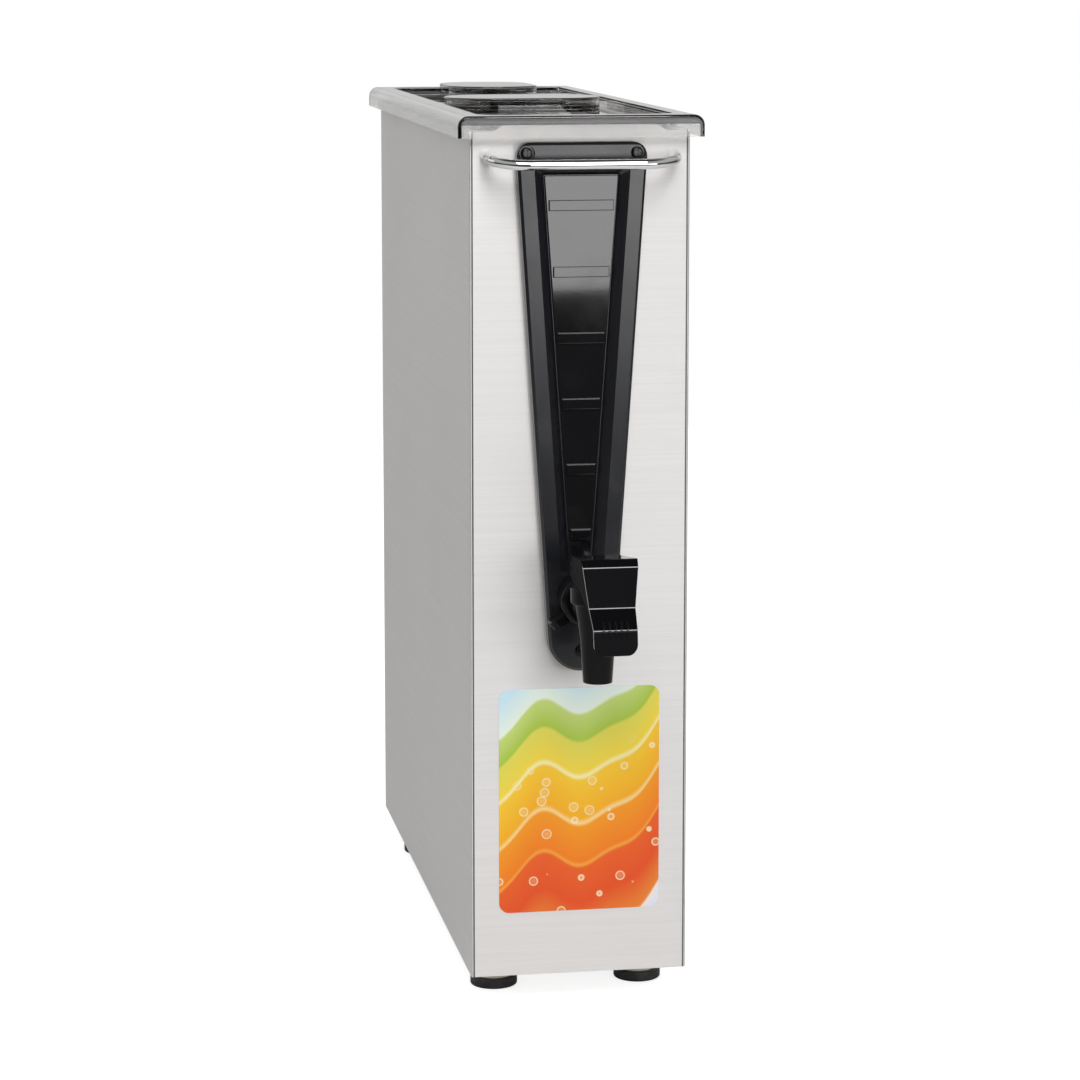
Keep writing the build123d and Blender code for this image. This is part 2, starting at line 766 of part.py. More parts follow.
def bonnet():
    """Cap on the faucet body with a plug, a hub and two ears for the lever's pin."""
    cap = rod_z(body_collar_radius, body_top_z, bonnet_flange_top_z, 0, stem_y)
    cap = fillet(cap.edges().filter_by(GeomType.CIRCLE).sort_by(Axis.Z)[-1], bonnet_edge_round)
    cap += rod_z(chamber_radius - thread_gap, bonnet_plug_z, body_top_z, 0, stem_y)
    cap += rod_z(bonnet_hub_radius, bonnet_flange_top_z, bonnet_top_z, 0, stem_y)
    foot_z = bonnet_flange_top_z + ear_foot_radius
    circles = [
        Pos(pivot_y, pivot_z) * Circle(ear_radius),
        Pos(stem_y + ear_foot_behind_stem, foot_z) * Circle(ear_foot_radius),
        Pos(stem_y + bonnet_hub_radius - ear_foot_radius, foot_z) * Circle(ear_foot_radius),
    ]
    outline = make_hull([circle.edge() for circle in circles])
    for side_x in (ear_inner_side, -ear_outer_side):
        ear_plane = Plane(origin=(side_x, 0, 0), x_dir=(0, 1, 0), z_dir=(1, 0, 0))
        cap += extrude(ear_plane * outline, ear_outer_side - ear_inner_side)
    cap -= rod_z(stem_radius + thread_gap, bonnet_plug_z, bonnet_top_z, 0, stem_y)
    return cap - rod_x(pin_radius, -ear_outer_side, ear_outer_side, pivot_y, pivot_z)


def valve_stem():
    """Stem with a flat head that the lever's fingers lift."""
    socket_z = cup_top_z - cup_socket_depth
    head_top_z = head_low_z + stem_head_thickness
    stem = rod_z(stem_radius, socket_z, head_low_z - stem_neck_length, 0, stem_y)
    stem += rod_z(stem_neck_radius, socket_z, head_low_z, 0, stem_y)
    head = rod_z(stem_head_radius, head_low_z, head_top_z, 0, stem_y)
    return stem + fillet(head.edges().filter_by(GeomType.CIRCLE), stem_head_edge)


def seat_cup():
    """Soft cup on the stem's end that closes the spout."""
    cup = rod_z(cup_radius, cup_low_z, cup_low_z + cup_rim_height, 0, stem_y)
    cup += rod_z(cup_boss_radius, cup_low_z, cup_top_z, 0, stem_y)
    return cup - rod_z(stem_radius, cup_top_z - cup_socket_depth, cup_top_z, 0, stem_y)


def valve_spring():
    """Coil spring between the cup and the bonnet's plug."""
    low_z = cup_top_z + spring_end_gap + spring_wire_radius
    high_z = bonnet_plug_z - spring_end_gap - spring_wire_radius
    height = high_z - low_z
    coil = Helix(pitch=height / spring_turns, height=height, radius=spring_radius)
    section = Plane(origin=coil @ 0, z_dir=coil % 0) * Circle(spring_wire_radius)
    return Pos(0, stem_y, low_z) * sweep(section, path=coil, is_frenet=True)


def pin_half_length():
    """Half length of the pivot pin, just inside the lever's sides."""
    return lever_rear_half_width - pin_end_inset


def pivot_pin():
    """Pin through the bonnet's ears and the lever's sides."""
    return rod_x(pin_radius, -pin_half_length(), pin_half_length(), pivot_y, pivot_z)


def lever_front_face(inset):
    """Front outline of the lever, drawn in by an inset: wide hood, narrower flap, round tip."""
    top_z = pivot_z + hood_front_top[1]
    kink_z = pivot_z + flap_outer_top[1]
    flap_z = pivot_z + flap_outer_low[1]
    tip_z = pivot_z + flap_tip_inner[1]
    half_points = [
        (lever_flap_half_width - inset, tip_z),
        (lever_flap_half_width - inset, flap_z),
        (lever_kink_half_width - inset, kink_z),
        (lever_front_half_width - inset, top_z),
    ]
    mirrored = [(-x, z) for x, z in reversed(half_points)]
    outline = make_face(Polyline(half_points + mirrored, close=True))
    return fillet(outline.vertices().group_by(Axis.Y)[0], lever_tip_round - inset)


def lever_plan_face(inset):
    """Plan outline of the lever, drawn in by an inset: it widens from the pivot to the front."""
    rear_y = pivot_y + lever_pad_radius
    front_y = pivot_y - hood_front_top[0]
    half_points = [
        (lever_rear_half_width - inset, rear_y),
        (lever_rear_half_width - inset, pivot_y),
        (lever_front_half_width - inset, front_y),
        (lever_front_half_width - inset, lever_front_y),
    ]
    mirrored = [(-x, y) for x, y in reversed(half_points)]
    return make_face(Polyline(half_points + mirrored, close=True))


def lever_core(side_outline, inset):
    """Solid where the lever's side, front and plan outlines meet."""
    low_z = pivot_z + flap_tip_inner[1]
    high_z = pivot_z + hood_front_top[1]
    core = extrude(side_outline, lever_front_half_width, both=True)
    core &= extrude(front_plane(pivot_y + lever_pad_radius) * lever_front_face(inset), lever_span_y())
    return core & extrude(Pos(0, 0, low_z) * lever_plan_face(inset), high_z - low_z)


def lever_span_y():
    """Length of the lever from its rear pad to its tip."""
    return lever_pad_radius + flap_tip_outer[0]


def lever_points(offsets):
    """Points in the YZ plane from (distance in front, rise) pairs about the pivot."""
    return [(pivot_y - ahead, pivot_z + rise) for ahead, rise in offsets]


def faucet_lever():
    """Hood over the bonnet with a flared flap to lift, and two fingers under the stem's head."""
    outline = side_face(
        lever_points(
            [
                hood_rear_low,
                hood_side_low,
                flap_inner_top,
                flap_inner_low,
                flap_tip_inner,
                flap_tip_outer,
                flap_outer_low,
                flap_outer_top,
                hood_front_low,
                hood_front_top,
                hood_rear_top,
            ]
        )
    )
    outline = fillet(outline.vertices().group_by(Axis.Z)[0], lever_edge)
    above_tip = pivot_z + flap_inner_low[1]
    bends = [corner for corner in outline.vertices() if corner.Z > above_tip - lever_edge]
    outline = fillet(bends, lever_bend)
    pad = Plane(origin=(0, pivot_y, pivot_z), x_dir=(0, 1, 0), z_dir=(1, 0, 0)) * Circle(lever_pad_radius)
    lever = lever_core(outline + pad, 0)
    hollow = side_face(
        lever_points(
            [
                (-2 * lever_pad_radius, flap_tip_inner[1]),
                (flap_inner_top[0] - lever_wall, flap_tip_inner[1]),
                flap_inner_top,
                (hood_front_low[0] - lever_wall, hood_front_low[1] - lever_wall),
                (hood_front_top[0] - lever_wall, hood_front_top[1] - lever_wall),
                (hood_rear_top[0], hood_rear_top[1] - lever_wall),
                (-2 * lever_pad_radius, hood_rear_top[1] - lever_wall),
            ]
        )
    )
    lever -= lever_core(hollow, lever_wall)
    finger_in = stem_neck_radius + finger_neck_gap
    finger_out = lever_rear_half_width - lever_wall / 2
    for x_low, x_high in ((finger_in, finger_out), (-finger_out, -finger_in)):
        lever += rod_x(finger_radius, x_low, x_high, stem_y, pivot_z)
    return lever - rod_x(pin_radius + running_gap, -casing_half, casing_half, pivot_y, pivot_z)


def cover_opening(width, length, start):
    """Half width, front and rear of the opening under a cover, inside its collar."""
    inset = cover_wall + cover_fit_gap + collar_wall
    return width / 2 - inset, start + inset, start + length - inset


def cover_sizes():
    """Width, length, front, height and corner radius of each cover."""
    front = (front_cover_width, front_cover_length, front_cover_start, front_cover_height, front_cover_corner)
    rear = (rear_cover_width, rear_cover_length, rear_cover_start, rear_cover_height, rear_cover_corner)
    return front, rear


def lid_shell(inset, top_z, low_z):
    """Long block of the lid with rounded top sides, drawn in by an inset."""
    half = lid_half_width - inset
    block_height = top_z - low_z
    outline = make_face(Polyline([(-half, low_z), (half, low_z), (half, top_z), (-half, top_z)], close=True))
    outline = fillet(outline.vertices().group_by(Axis.Y)[-1], min(lid_side_round - inset, block_height / 2))
    return extrude(front_plane(lid_rear_y - inset) * outline, lid_rear_y - lid_front_y - 2 * inset)


def lid():
    """Clear lid: skirt, raised rim, sunken pan with two collared openings, and a locating lip."""
    shell = lid_shell(0, lid_top_z, lid_skirt_low_z)
    end_faces = [shell.faces().sort_by(Axis.Y)[0], shell.faces().sort_by(Axis.Y)[-1]]
    end_edges = [edge for face in end_faces for edge in face.edges() if edge.center().Z > lid_skirt_low_z]
    shell = fillet(end_edges, lid_end_round)
    shell -= lid_shell(lid_wall, lid_top_z - lid_wall, lid_skirt_low_z)
    pan_half = lid_pan_half_width
    pan_front = lid_front_y + lid_rim_width
    pan_rear = lid_rear_y - lid_rim_width
    rest_z = flange_top_z + seat_gap
    tray = rounded_block(
        pan_half + lid_wall, pan_front - lid_wall, pan_rear + lid_wall, rest_z, lid_top_z, lid_pan_corner + lid_wall
    )
    solid = shell + tray
    solid -= rounded_block(pan_half, pan_front, pan_rear, lid_pan_top_z, lid_top_z, lid_pan_corner)
    solid -= rounded_block(pan_half, pan_front, pan_rear, rest_z, lid_pan_low_z, lid_pan_corner)
    solid += locating_lip()
    for width, length, start, height, corner in cover_sizes():
        half, y_low, y_high = cover_opening(width, length, start)
        radius = corner - cover_wall - cover_fit_gap
        collar_top = lid_pan_top_z + collar_height
        solid += rounded_block(
            half + collar_wall, y_low - collar_wall, y_high + collar_wall, lid_pan_low_z, collar_top, radius
        )
        solid -= rounded_block(half, y_low, y_high, lid_pan_low_z, collar_top, radius - collar_wall)
    for side in (-1, 1):
        y_mid = lid_rear_y - lid_rim_width - pan_recess_from_rear + pan_recess_length / 2
        recess = Pos(side * pan_recess_side, y_mid, lid_pan_top_z) * SlotOverall(
            pan_recess_length, pan_recess_width, rotation=90
        )
        solid -= extrude(recess, -pan_recess_depth)
    return solid


def locating_lip():
    """Rib under the pan that drops just inside the tank's walls."""
    half = tank_inner_half - lid_lip_gap
    y_low = tank_front_inset + lid_lip_gap
    y_high = tank_rear_y - lid_lip_gap
    radius = tank_corner_radius
    low_z = flange_top_z - lid_lip_depth
    lip = rounded_block(half, y_low, y_high, low_z, lid_pan_low_z, radius)
    inner = lid_lip_thickness
    return lip - rounded_block(half - inner, y_low + inner, y_high - inner, low_z, lid_pan_low_z, radius - inner)


def cover(width, length, start, height, corner):
    """Clear cap over a collared opening."""
    low_z = lid_pan_top_z + seat_gap
    top_z = low_z + height
    cap = rounded_block(width / 2, start, start + length, low_z, top_z, corner)
    cap = fillet(cap.faces().sort_by(Axis.Z)[-1].edges(), cover_edge)
    inner_half = width / 2 - cover_wall
    y_low = start + cover_wall
    y_high = start + length - cover_wall
    return cap - rounded_block(inner_half, y_low, y_high, low_z, top_z - cover_wall, corner - cover_wall)


front_cover_size, rear_cover_size = cover_sizes()
nodes = {
    "left_side_panel": side_panel(-1),
    "right_side_panel": side_panel(1),
    "front_panel": front_panel(),
    "rear_panel": rear_panel(),
    "rear_panel_screws": rear_panel_screws(),
    "base_pan": base_pan(),
    "foot_pads": foot_pads(),
    "foot_collars": foot_collars(),
    "foot_screws": foot_screws(),
    "foot_nuts": foot_nuts(),
    "reservoir": reservoir(),
    "outlet_spud": outlet_spud(),
    "spud_gasket": spud_gasket(),
    "spud_nut": spud_nut(),
    "front_trim": front_trim(),
    "level_panel": level_panel(),
    "trim_screws": trim_screws(),
    "trim_nuts": trim_nuts(),
    "label_plate": label_plate(),
    "handle_bar": handle_bar(),
    "handle_bar_washers": bar_washers(),
    "handle_bar_nuts": bar_nuts(),
    "faucet_gasket": faucet_gasket(),
    "faucet_wing_nut": wing_nut(),
    "faucet_body": faucet_body(),
    "faucet_bonnet": bonnet(),
    "valve_stem": valve_stem(),
    "seat_cup": seat_cup(),
    "valve_spring": valve_spring(),
    "pivot_pin": pivot_pin(),
    "faucet_lever": faucet_lever(),
    "lid": lid(),
    "front_cover": cover(*front_cover_size),
    "rear_cover": cover(*rear_cover_size),
}

os.makedirs("parts", exist_ok=True)
for name, shape in nodes.items():
    export_step(Pos(0, shift_y, 0) * shape, f"parts/{name}.step")
print(f"{len(nodes)} pieces, moved {shift_y:.3f} along Y")
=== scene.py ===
# %% [markdown]
# # A narrow iced tea dispenser, dressed on its CAD frame
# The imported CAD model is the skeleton: every sheet, screw and valve part is already there, in
# metres, and it moves with its joints. This script adds the looks: the camera, a plain studio,
# a finish for every piece, and a row of grip ridges on the lever. Each cell below takes one step
# and says why it is done that way.

# %% Load the frame
import bpy
import bmesh
import math
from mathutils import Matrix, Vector


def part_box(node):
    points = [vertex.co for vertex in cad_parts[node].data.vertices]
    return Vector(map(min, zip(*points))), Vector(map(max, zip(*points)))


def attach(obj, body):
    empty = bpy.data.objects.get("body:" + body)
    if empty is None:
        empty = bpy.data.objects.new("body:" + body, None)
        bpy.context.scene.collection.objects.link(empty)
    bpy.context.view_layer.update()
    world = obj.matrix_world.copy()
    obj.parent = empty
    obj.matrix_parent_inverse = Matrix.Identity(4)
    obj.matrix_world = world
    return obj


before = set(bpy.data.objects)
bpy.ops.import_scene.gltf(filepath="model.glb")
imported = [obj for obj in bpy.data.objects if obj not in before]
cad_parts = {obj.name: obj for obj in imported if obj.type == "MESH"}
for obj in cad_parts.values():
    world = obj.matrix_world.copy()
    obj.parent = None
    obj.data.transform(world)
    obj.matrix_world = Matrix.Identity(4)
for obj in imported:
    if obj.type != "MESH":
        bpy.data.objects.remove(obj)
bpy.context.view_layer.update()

# %% [markdown]
# ## Camera
# The picture was taken with a long lens from the left of the front and from a little above, so
# the uprights stay almost parallel. A camera object needs a place, a turn and a lens. The lens
# is 112.7 mm on a 36 mm sensor, the heading is 9.7 degrees to the right and 8.1 degrees down,
# and a small downward shift of the view lifts the object in the picture, as the falling front
# of a view camera does.

# %% Camera
camera_place = (-0.3447, -2.0360, 0.6101)
camera_down = 0.1413
camera_right = 0.1696
camera_data = bpy.data.cameras.new("picture_camera")
camera_data.lens = 112.7
camera_data.sensor_width = 36.0
camera_data.shift_x = -0.002
camera_data.shift_y = -0.1
camera = bpy.data.objects.new("picture_camera", camera_data)
camera.location = camera_place
camera.rotation_euler = (math.pi / 2 - camera_down, 0.0, -camera_right)
bpy.context.scene.collection.objects.link(camera)
bpy.context.scene.camera = camera
bpy.context.scene.view_settings.view_transform = "Standard"
print("camera", camera.name, "lens", camera_data.lens)

# %% [markdown]
# ## Floor
# The product stands on a sheet of white paper. A white floor could be had by flooding it with
# light, but that would burn out the steel too. Instead the paper is plain pale grey, and its
# material adds a glow for rays that come from the camera or through clear plastic, and a very
# faint one for mirrored rays. The soft shadow under the feet stays, because the glow is added
# to the lit paper and doesn't replace it. The sheet ends a metre in front, as on a table, so
# that the black level panel mirrors the dark room beyond it.

# %% Floor
def principled(material):
    """The material's own Principled BSDF node."""
    return material.node_tree.nodes["Principled BSDF"]


def number(tree, operation, first, second=None):
    """A Math node; each argument is a socket or a plain number."""
    node = tree.nodes.new("ShaderNodeMath")
    node.operation = operation
    for slot, value in enumerate((first, second)):
        if isinstance(value, (int, float)):
            node.inputs[slot].default_value = value
        elif value is not None:
            tree.links.new(value, node.inputs[slot])
    return node.outputs[0]


def product(tree, first, second):
    """The product of two sockets or numbers."""
    return number(tree, "MULTIPLY", first, second)


def difference(tree, first, second):
    """The first socket or number less the second."""
    return number(tree, "SUBTRACT", first, second)


def ray_kinds(tree):
    """A socket that is 1 for camera and see-through rays, and one that is 1 for mirrored rays."""
    rays = tree.nodes.new("ShaderNodeLightPath").outputs
    plain = number(tree, "MAXIMUM", rays["Is Camera Ray"], rays["Is Transmission Ray"])
    return plain, rays["Is Glossy Ray"]


floor_width, floor_front, floor_back = 3.2, -1.0, 2.2
paper_grey = 0.72
paper_glow, paper_mirrored_glow = 0.78, 0.06
floor_mesh = bpy.data.meshes.new("paper_floor")
shape = bmesh.new()
bmesh.ops.create_grid(shape, x_segments=1, y_segments=1, size=floor_width / 2)
bmesh.ops.translate(shape, vec=(0.0, (floor_front + floor_back) / 2, 0.0), verts=shape.verts)
shape.to_mesh(floor_mesh)
shape.free()
floor = bpy.data.objects.new("paper_floor", floor_mesh)
bpy.context.scene.collection.objects.link(floor)

paper = bpy.data.materials.new("white_paper")
paper.use_nodes = True
paper_tree = paper.node_tree
paper_inputs = principled(paper).inputs
paper_inputs["Base Color"].default_value = (paper_grey, paper_grey, paper_grey, 1.0)
paper_inputs["Roughness"].default_value = 0.9
paper_inputs["Specular IOR Level"].default_value = 0.1
paper_inputs["Emission Color"].default_value = (1.0, 1.0, 1.0, 1.0)
paper_seen, paper_glossy = ray_kinds(paper_tree)
glow = number(
    paper_tree, "MAXIMUM",
    product(paper_tree, paper_seen, paper_glow),
    product(paper_tree, paper_glossy, paper_mirrored_glow),
)
paper_tree.links.new(glow, paper_inputs["Emission Strength"])
floor_mesh.materials.append(paper)
print("floor", floor_width, "m across, from", floor_front, "to", floor_back)

# %% [markdown]
# ## Surroundings
# A studio is white behind the product and dim behind the photographer, with a few bright
# softboxes. Polished black plastic shows that contrast: it is nearly black except where it
# mirrors a softbox. The world shader does the same with the ray's direction. Camera and
# see-through rays meet plain white. Glossy rays meet a wall behind the product that is paler
# higher up, a grey studio above eye level in front, the dark below the table's edge and a dark
# ceiling, which draws the black line along the chrome rod. Everything else gets a soft fill.

# %% Surroundings
fill_level = 0.45
studio_dark_level = 0.04
studio_front_level = 0.42
studio_low_back_level = 0.30
studio_high_back_level = 0.72
studio_ceiling_level = 0.05

# Where one part of the studio passes into the next, as parts of a ray's direction
front_wall_rise = (-0.06, 0.35)
back_wall_rise = (-0.35, 0.15)
ceiling_rise = (0.72, 0.92)
front_to_back = (0.3, 0.9)
world = bpy.data.worlds.new("studio")
bpy.context.scene.world = world
world.use_nodes = True
world_tree = world.node_tree
background = world_tree.nodes["Background"]
direction = world_tree.nodes.new("ShaderNodeTexCoord")
split = world_tree.nodes.new("ShaderNodeSeparateXYZ")
world_tree.links.new(direction.outputs["Generated"], split.inputs[0])


def soft_step(tree, value, first, last, low, high):
    """A smooth rise from low to high between two places."""
    step = tree.nodes.new("ShaderNodeMapRange")
    step.interpolation_type = "SMOOTHSTEP"
    settings = {"Value": value, "From Min": first, "From Max": last, "To Min": low, "To Max": high}
    for label, setting in settings.items():
        if isinstance(setting, (int, float)):
            step.inputs[label].default_value = setting
        else:
            tree.links.new(setting, step.inputs[label])
    return step.outputs["Result"]


def value_between(tree, mask, low, high):
    """A number that goes from low to high with a mask; each end is a number or a socket."""
    mix = tree.nodes.new("ShaderNodeMix")
    for label, value in (("A", low), ("B", high)):
        if isinstance(value, (int, float)):
            mix.inputs[label].default_value = value
        else:
            tree.links.new(value, mix.inputs[label])
    tree.links.new(mask, mix.inputs["Factor"])
    return mix.outputs["Result"]


ray_rise = split.outputs["Z"]
front_wall = soft_step(
    world_tree, ray_rise, *front_wall_rise, studio_dark_level, studio_front_level
)
back_wall = soft_step(
    world_tree, ray_rise, *back_wall_rise, studio_low_back_level, studio_high_back_level
)
walls = soft_step(world_tree, split.outputs["Y"], *front_to_back, front_wall, back_wall)
mirrored_room = soft_step(world_tree, ray_rise, *ceiling_rise, walls, studio_ceiling_level)
plain_ray, glossy_ray = ray_kinds(world_tree)
room = value_between(world_tree, glossy_ray, fill_level, mirrored_room)
room = value_between(world_tree, plain_ray, room, 1.0)
world_tree.links.new(room, background.inputs["Strength"])
background.inputs["Color"].default_value = (1.0, 1.0, 1.0, 1.0)
print("fill", fill_level, "front wall", studio_front_level, "back wall", studio_high_back_level)

# %% [markdown]
# ## Lamps
# Area lamps act as softboxes. A low, wide one stands to the right of the photographer: the
# black level panel mirrors it in its upper part only, which is what gives that panel its grey
# top and black lower half. The key hangs high up, where no flat black face mirrors it. The
# lever's rounded edges do, and the brushed steel, which spreads light up and down, catches it
# too. A weak one on the left keeps the side from going flat.

# %% Lamps
def softbox(name, place, target, width, height, power, turn=0.0):
    """An area lamp that faces a target, turned about that line in degrees, hidden from view."""
    data = bpy.data.lights.new(name, "AREA")
    data.shape = "RECTANGLE"
    data.size = width
    data.size_y = height
    data.energy = power
    lamp = bpy.data.objects.new(name, data)
    lamp.location = place
    aim = Vector(target) - Vector(place)
    lamp.rotation_euler = aim.to_track_quat("-Z", "Y").to_euler()
    lamp.rotation_euler.rotate_axis("Z", math.radians(turn))
    lamp.visible_camera = False
    bpy.context.scene.collection.objects.link(lamp)
    print(name, "at", place, "power", power)


softbox("low_softbox", (0.66, -1.75, 0.442), (0.1, -0.15, 0.442), 1.1, 0.36, 5.0, turn=2.5)
softbox("key_softbox", (-0.15, -1.52, 1.66), (0.0, -0.15, 0.45), 1.2, 1.0, 19.0)
softbox("left_softbox", (-2.2, 0.6, 0.9), (0.0, 0.05, 0.3), 1.0, 1.2, 2.0)

# %% [markdown]
# ## Shared effects
# Three effects turn up in more than one finish, so each is a node group that is built once:
# a long grain for brushed steel, a cloudy mask for handling marks, and the faint skin of
# moulded plastic. A group only puts out masks and heights. The shader that uses them stays in
# the material, where it can be seen.

# %% Shared effects
def new_group(name, inputs, outputs):
    """An empty shader node group with named float or vector inputs and float outputs."""
    group = bpy.data.node_groups.new(name, "ShaderNodeTree")
    for label, kind, value in inputs:
        socket = group.interface.new_socket(label, in_out="INPUT", socket_type=kind)
        socket.default_value = value
    for label in outputs:
        group.interface.new_socket(label, in_out="OUTPUT", socket_type="NodeSocketFloat")
    start = group.nodes.new("NodeGroupInput")
    end = group.nodes.new("NodeGroupOutput")
    return group, start, end


def grain_group():
    """Long streaks: noise stretched by a scale for each axis, in a fine and a broad layer."""
    group, start, end = new_group(
        "long_grain",
        [
            ("Fine Scale", "NodeSocketVector", (10.0, 10.0, 1500.0)),
            ("Broad Share", "NodeSocketFloat", 0.35),
        ],
        ["Streak", "Height"],
    )
    where = group.nodes.new("ShaderNodeTexCoord")
    layers = []
    for factor in (1.0, 0.16):
        shrink = group.nodes.new("ShaderNodeVectorMath")
        shrink.operation = "SCALE"
        shrink.inputs["Scale"].default_value = factor
        group.links.new(start.outputs["Fine Scale"], shrink.inputs[0])
        place = group.nodes.new("ShaderNodeVectorMath")
        place.operation = "MULTIPLY"
        group.links.new(where.outputs["Object"], place.inputs[0])
        group.links.new(shrink.outputs[0], place.inputs[1])
        noise = group.nodes.new("ShaderNodeTexNoise")
        noise.inputs["Scale"].default_value = 1.0
        noise.inputs["Detail"].default_value = 3.0
        noise.inputs["Roughness"].default_value = 0.6
        group.links.new(place.outputs[0], noise.inputs["Vector"])
        layers.append(noise.outputs["Fac"])
    streak = value_between(group, start.outputs["Broad Share"], *layers)
    group.links.new(streak, end.inputs["Streak"])
    group.links.new(layers[0], end.inputs["Height"])
    return group


def cloud_group():
    """A soft cloudy mask, for wiped-off fingerprints and uneven polish."""
    group, start, end = new_group(
        "handling_clouds",
        [
            ("Scale", "NodeSocketFloat", 18.0),
            ("Low", "NodeSocketFloat", 0.45),
            ("High", "NodeSocketFloat", 0.62),
        ],
        ["Mask"],
    )
    where = group.nodes.new("ShaderNodeTexCoord")
    noise = group.nodes.new("ShaderNodeTexNoise")
    noise.inputs["Detail"].default_value = 5.0
    noise.inputs["Distortion"].default_value = 0.6
    edge = group.nodes.new("ShaderNodeMapRange")
    edge.interpolation_type = "SMOOTHSTEP"
    group.links.new(where.outputs["Object"], noise.inputs["Vector"])
    group.links.new(start.outputs["Scale"], noise.inputs["Scale"])
    group.links.new(noise.outputs["Fac"], edge.inputs["Value"])
    group.links.new(start.outputs["Low"], edge.inputs["From Min"])
    group.links.new(start.outputs["High"], edge.inputs["From Max"])
    group.links.new(edge.outputs["Result"], end.inputs["Mask"])
    return group


def skin_group():
    """The skin of a moulded part: fine orange peel with a few dust specks."""
    group, start, end = new_group(
        "moulded_skin",
        [("Peel Scale", "NodeSocketFloat", 900.0), ("Speck Scale", "NodeSocketFloat", 260.0)],
        ["Peel", "Specks"],
    )
    where = group.nodes.new("ShaderNodeTexCoord")
    peel = group.nodes.new("ShaderNodeTexNoise")
    peel.inputs["Detail"].default_value = 2.0
    group.links.new(where.outputs["Object"], peel.inputs["Vector"])
    group.links.new(start.outputs["Peel Scale"], peel.inputs["Scale"])
    group.links.new(peel.outputs["Fac"], end.inputs["Peel"])
    dots = group.nodes.new("ShaderNodeTexVoronoi")
    group.links.new(where.outputs["Object"], dots.inputs["Vector"])
    group.links.new(start.outputs["Speck Scale"], dots.inputs["Scale"])
    small = group.nodes.new("ShaderNodeMapRange")
    small.inputs["From Min"].default_value = 0.1
    small.inputs["From Max"].default_value = 0.03
    group.links.new(dots.outputs["Distance"], small.inputs["Value"])
    group.links.new(small.outputs["Result"], end.inputs["Specks"])
    return group


long_grain = grain_group()
handling_clouds = cloud_group()
moulded_skin = skin_group()
print("groups", [group.name for group in (long_grain, handling_clouds, moulded_skin)])

# %% [markdown]
# ## Small helpers for finishes
# Every finish is a Principled BSDF fed by masks. These helpers make the material, place a
# group in it, mix two colours by a mask, read a point's place or facing, and add a bump.
# Values that are the same all over a surface are written on the shader's own sockets.

# %% Helpers for finishes
def new_finish(name, metallic=0.0, ior=1.5):
    """A material with its Principled BSDF, ready for masks."""
    material = bpy.data.materials.new(name)
    material.use_nodes = True
    shader = principled(material)
    shader.inputs["Metallic"].default_value = metallic
    shader.inputs["IOR"].default_value = ior
    return material, material.node_tree, shader


def place_group(tree, group, **values):
    """A node that uses a shared group, with its inputs set by name."""
    node = tree.nodes.new("ShaderNodeGroup")
    node.node_tree = group
    for label, value in values.items():
        node.inputs[label.replace("_", " ").title()].default_value = value
    return node


def colour_between(tree, mask, low, high):
    """A colour that goes from low to high with a mask; each end is a colour or a socket."""
    mix = tree.nodes.new("ShaderNodeMix")
    mix.data_type = "RGBA"
    for label, colour in (("A", low), ("B", high)):
        if isinstance(colour, tuple):
            mix.inputs[label].default_value = (*colour, 1.0)
        else:
            tree.links.new(colour, mix.inputs[label])
    tree.links.new(mask, mix.inputs["Factor"])
    return mix.outputs["Result"]


def own_axes(tree, kind):
    """X, Y and Z sockets of a point's "Object" place or of its "Normal"."""
    where = tree.nodes.new("ShaderNodeTexCoord")
    axes = tree.nodes.new("ShaderNodeSeparateXYZ")
    tree.links.new(where.outputs[kind], axes.inputs[0])
    return axes.outputs


# A ramp's stops lie between 0 and 1, so short lengths are put into it in centimetres
centimetres_per_metre = 100.0


def colour_bands(tree, value, stops):
    """A colour ramp with (position, colour) stops."""
    ramp = tree.nodes.new("ShaderNodeValToRGB")
    band = ramp.color_ramp.elements
    while len(band) < len(stops):
        band.new(0.5)
    for element, (position, colour) in zip(band, stops):
        element.position = position
        element.color = (*colour, 1.0)
    tree.links.new(value, ramp.inputs["Fac"])
    return ramp.outputs["Color"]


def grey(value):
    """A colour with three equal parts."""
    return (value, value, value)


def add_bump(tree, shader, height, distance):
    """Bump of full strength from a height, with the distance in metres."""
    bump = tree.nodes.new("ShaderNodeBump")
    bump.inputs["Strength"].default_value = 1.0
    bump.inputs["Distance"].default_value = distance
    tree.links.new(height, bump.inputs["Height"])
    tree.links.new(bump.outputs["Normal"], shader.inputs["Normal"])


def dress(material, *names):
    """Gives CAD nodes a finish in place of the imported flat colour."""
    for name in names:
        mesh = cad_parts[name].data
        mesh.materials.clear()
        mesh.materials.append(material)
    print(material.name, "on", ", ".join(names))


# %% [markdown]
# ## Brushed steel of the casing
# The sheets were brushed along their width, so under a lamp each fine scratch spreads the light
# up and down and hardly to the sides. Anisotropy on the shader does that, with a tangent that
# runs round the upright axis. Long noise streaks vary colour and roughness a little, and a
# cloudy mask stands for wiped-off fingerprints. A flat grey would look like paint. The outer
# half millimetre of the front and rear sheets is darker: painted shade in the gap at the seam.

# %% Brushed steel
seam_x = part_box("front_panel")[1][0]
seam_inner = (seam_x - 0.0007, seam_x - 0.0004)
seam_outer = (seam_x, seam_x + 0.0001)
# Painted shade: the colour that darkens the sheets' outer edge, standing for the seam gap's shadow
seam_shade_colour = grey(0.10)
rough_change = 0.05
quarter_turn = 0.25
scratch_depth = 0.000006


